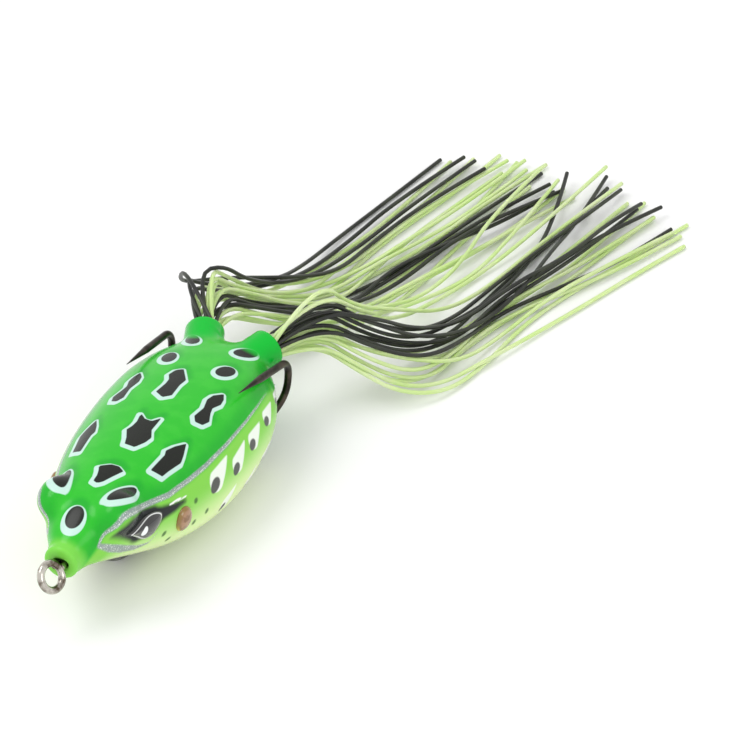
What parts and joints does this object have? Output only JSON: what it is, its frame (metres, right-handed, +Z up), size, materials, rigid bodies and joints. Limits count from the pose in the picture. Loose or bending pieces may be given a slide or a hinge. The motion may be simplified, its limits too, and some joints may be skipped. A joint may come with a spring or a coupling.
{
  "type": "hollow-body frog topwater lure",
  "caption": "Soft hollow frog body with a line-tie eye at the nose, a double hook whose points lie against the back, a keel weight and two legs of fine silicone strands.",
  "frame": {"origin": "on the flat strip under the keel weight, in the surface that the lure rests on, about 1 mm in front of the middle of the body", "axes": "+Z up, -Y towards the nose, +X towards the frog's left"},
  "size_m": [0.0639, 0.1517, 0.02],
  "materials": {
    "green_skin": "glossy painted soft plastic",
    "hook_steel": "black nickel",
    "lead": "dull cast lead",
    "eye_gloss": "clear-coated",
    "amber_disc": "clear-coated",
    "black_silicone": "satin",
    "chartreuse_silicone": "translucent satin"
  },
  "bodies": {
    "shell": {"body_shell": "green_skin", "left_eye": "eye_gloss", "right_eye": "eye_gloss", "left_ear_disc": "amber_disc", "right_ear_disc": "amber_disc", "strand_loom": "black_silicone"},
    "hook": {"double_hook": "hook_steel", "keel_weight": "lead"},
    "left_leg": {"left_black_strand_1": "black_silicone", "left_black_strand_2": "black_silicone", "left_black_strand_3": "black_silicone", "left_black_strand_4": "black_silicone", "left_black_strand_5": "black_silicone", "left_black_strand_6": "black_silicone", "left_black_strand_7": "black_silicone", "left_black_strand_8": "black_silicone", "left_chartreuse_strand_1": "chartreuse_silicone", "left_chartreuse_strand_2": "chartreuse_silicone", "left_chartreuse_strand_3": "chartreuse_silicone", "left_chartreuse_strand_4": "chartreuse_silicone", "left_chartreuse_strand_5": "chartreuse_silicone", "left_chartreuse_strand_6": "chartreuse_silicone", "left_chartreuse_strand_7": "chartreuse_silicone", "left_chartreuse_strand_8": "chartreuse_silicone", "left_chartreuse_strand_9": "chartreuse_silicone", "left_chartreuse_strand_10": "chartreuse_silicone", "left_chartreuse_strand_11": "chartreuse_silicone", "left_chartreuse_strand_12": "chartreuse_silicone"},
    "right_leg": {"right_black_strand_1": "black_silicone", "right_black_strand_2": "black_silicone", "right_black_strand_3": "black_silicone", "right_black_strand_4": "black_silicone", "right_black_strand_5": "black_silicone", "right_black_strand_6": "black_silicone", "right_black_strand_7": "black_silicone", "right_black_strand_8": "black_silicone", "right_chartreuse_strand_1": "chartreuse_silicone", "right_chartreuse_strand_2": "chartreuse_silicone", "right_chartreuse_strand_3": "chartreuse_silicone", "right_chartreuse_strand_4": "chartreuse_silicone", "right_chartreuse_strand_5": "chartreuse_silicone", "right_chartreuse_strand_6": "chartreuse_silicone", "right_chartreuse_strand_7": "chartreuse_silicone", "right_chartreuse_strand_8": "chartreuse_silicone", "right_chartreuse_strand_9": "chartreuse_silicone", "right_chartreuse_strand_10": "chartreuse_silicone", "right_chartreuse_strand_11": "chartreuse_silicone", "right_chartreuse_strand_12": "chartreuse_silicone"}
  },
  "joints": [
    {"name": "hook_lift", "type": "hinge", "parent": "shell", "child": "hook", "pos_m": [0, -0.0295, 0.0122], "axis": [1, 0, 0], "range_deg": [0, 5], "deforming": ["body_shell"]},
    {"name": "left_leg_sweep", "type": "hinge", "parent": "shell", "child": "left_leg", "pos_m": [0.0056, 0.0321, 0.0142], "axis": [0, 0, 1], "range_deg": [-15, 15], "deforming": ["left_black_strand_1", "left_black_strand_2", "left_black_strand_3", "left_black_strand_4", "left_black_strand_5", "left_black_strand_6", "left_black_strand_7", "left_black_strand_8", "left_chartreuse_strand_1", "left_chartreuse_strand_2", "left_chartreuse_strand_3", "left_chartreuse_strand_4", "left_chartreuse_strand_5", "left_chartreuse_strand_6", "left_chartreuse_strand_7", "left_chartreuse_strand_8", "left_chartreuse_strand_9", "left_chartreuse_strand_10", "left_chartreuse_strand_11", "left_chartreuse_strand_12"]},
    {"name": "right_leg_sweep", "type": "hinge", "parent": "shell", "child": "right_leg", "pos_m": [-0.0056, 0.0321, 0.0142], "axis": [0, 0, 1], "range_deg": [-15, 15], "deforming": ["right_black_strand_1", "right_black_strand_2", "right_black_strand_3", "right_black_strand_4", "right_black_strand_5", "right_black_strand_6", "right_black_strand_7", "right_black_strand_8", "right_chartreuse_strand_1", "right_chartreuse_strand_2", "right_chartreuse_strand_3", "right_chartreuse_strand_4", "right_chartreuse_strand_5", "right_chartreuse_strand_6", "right_chartreuse_strand_7", "right_chartreuse_strand_8", "right_chartreuse_strand_9", "right_chartreuse_strand_10", "right_chartreuse_strand_11", "right_chartreuse_strand_12"]}
  ]
}
